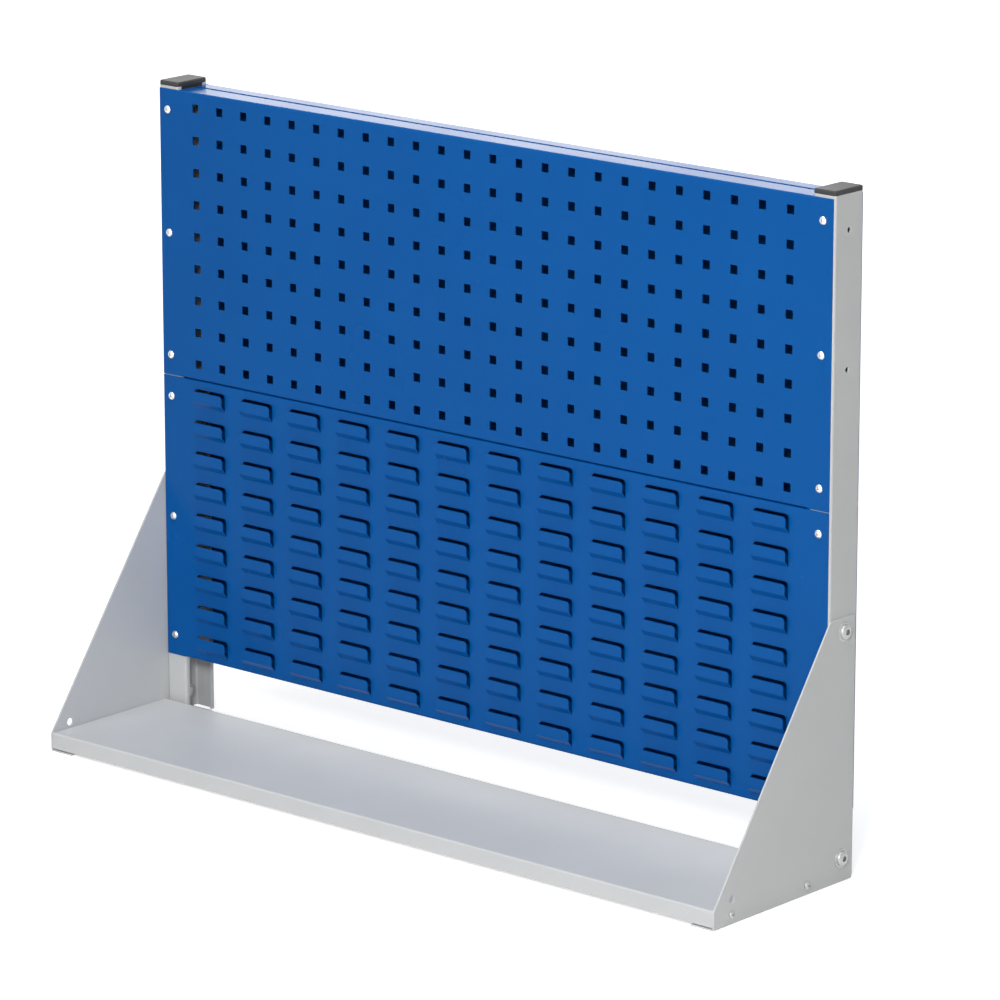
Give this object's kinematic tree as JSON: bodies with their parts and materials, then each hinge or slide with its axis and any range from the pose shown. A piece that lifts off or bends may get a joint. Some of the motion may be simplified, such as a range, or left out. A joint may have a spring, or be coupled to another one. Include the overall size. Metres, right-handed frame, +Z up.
{
  "type": "bench-top perforated and louvred panel stand",
  "caption": "Bench-top stand: two posts with a square-hole tool panel above a louvred bin panel, sloping side plates and a shelf tray.",
  "frame": {"origin": "on the bench, under the middle of the stand's bounding box", "axes": "+X along the width to the right as seen from the front, -Y towards the front, +Z up"},
  "size_m": [1.006, 0.2487, 0.77],
  "materials": {
    "blue_powder_coat": "semi-gloss",
    "grey_powder_coat": "semi-gloss",
    "dark_plastic": "matte",
    "zinc_plated_steel": "bright"
  },
  "bodies": {
    "root": {"perforated_panel": "blue_powder_coat", "louvre_panel": "blue_powder_coat", "rear_panel_upper": "blue_powder_coat", "rear_panel_lower": "blue_powder_coat", "post_left": "grey_powder_coat", "post_right": "grey_powder_coat", "side_plate_left": "grey_powder_coat", "side_plate_right": "grey_powder_coat", "shelf_tray": "grey_powder_coat", "post_cap_left": "dark_plastic", "post_cap_right": "dark_plastic", "perforated_panel_screws": "zinc_plated_steel", "louvre_panel_screws": "zinc_plated_steel", "rear_panel_upper_screws": "zinc_plated_steel", "rear_panel_lower_screws": "zinc_plated_steel", "post_nuts_left": "zinc_plated_steel", "post_nuts_right": "zinc_plated_steel", "plate_bolts_left": "zinc_plated_steel", "plate_bolts_right": "zinc_plated_steel", "plate_bolt_washers_left": "zinc_plated_steel", "plate_bolt_washers_right": "zinc_plated_steel", "plate_bolt_nuts_left": "zinc_plated_steel", "plate_bolt_nuts_right": "zinc_plated_steel", "tray_screws_left": "zinc_plated_steel", "tray_screws_right": "zinc_plated_steel", "tray_nuts_left": "zinc_plated_steel", "tray_nuts_right": "zinc_plated_steel"}
  },
  "joints": []
}
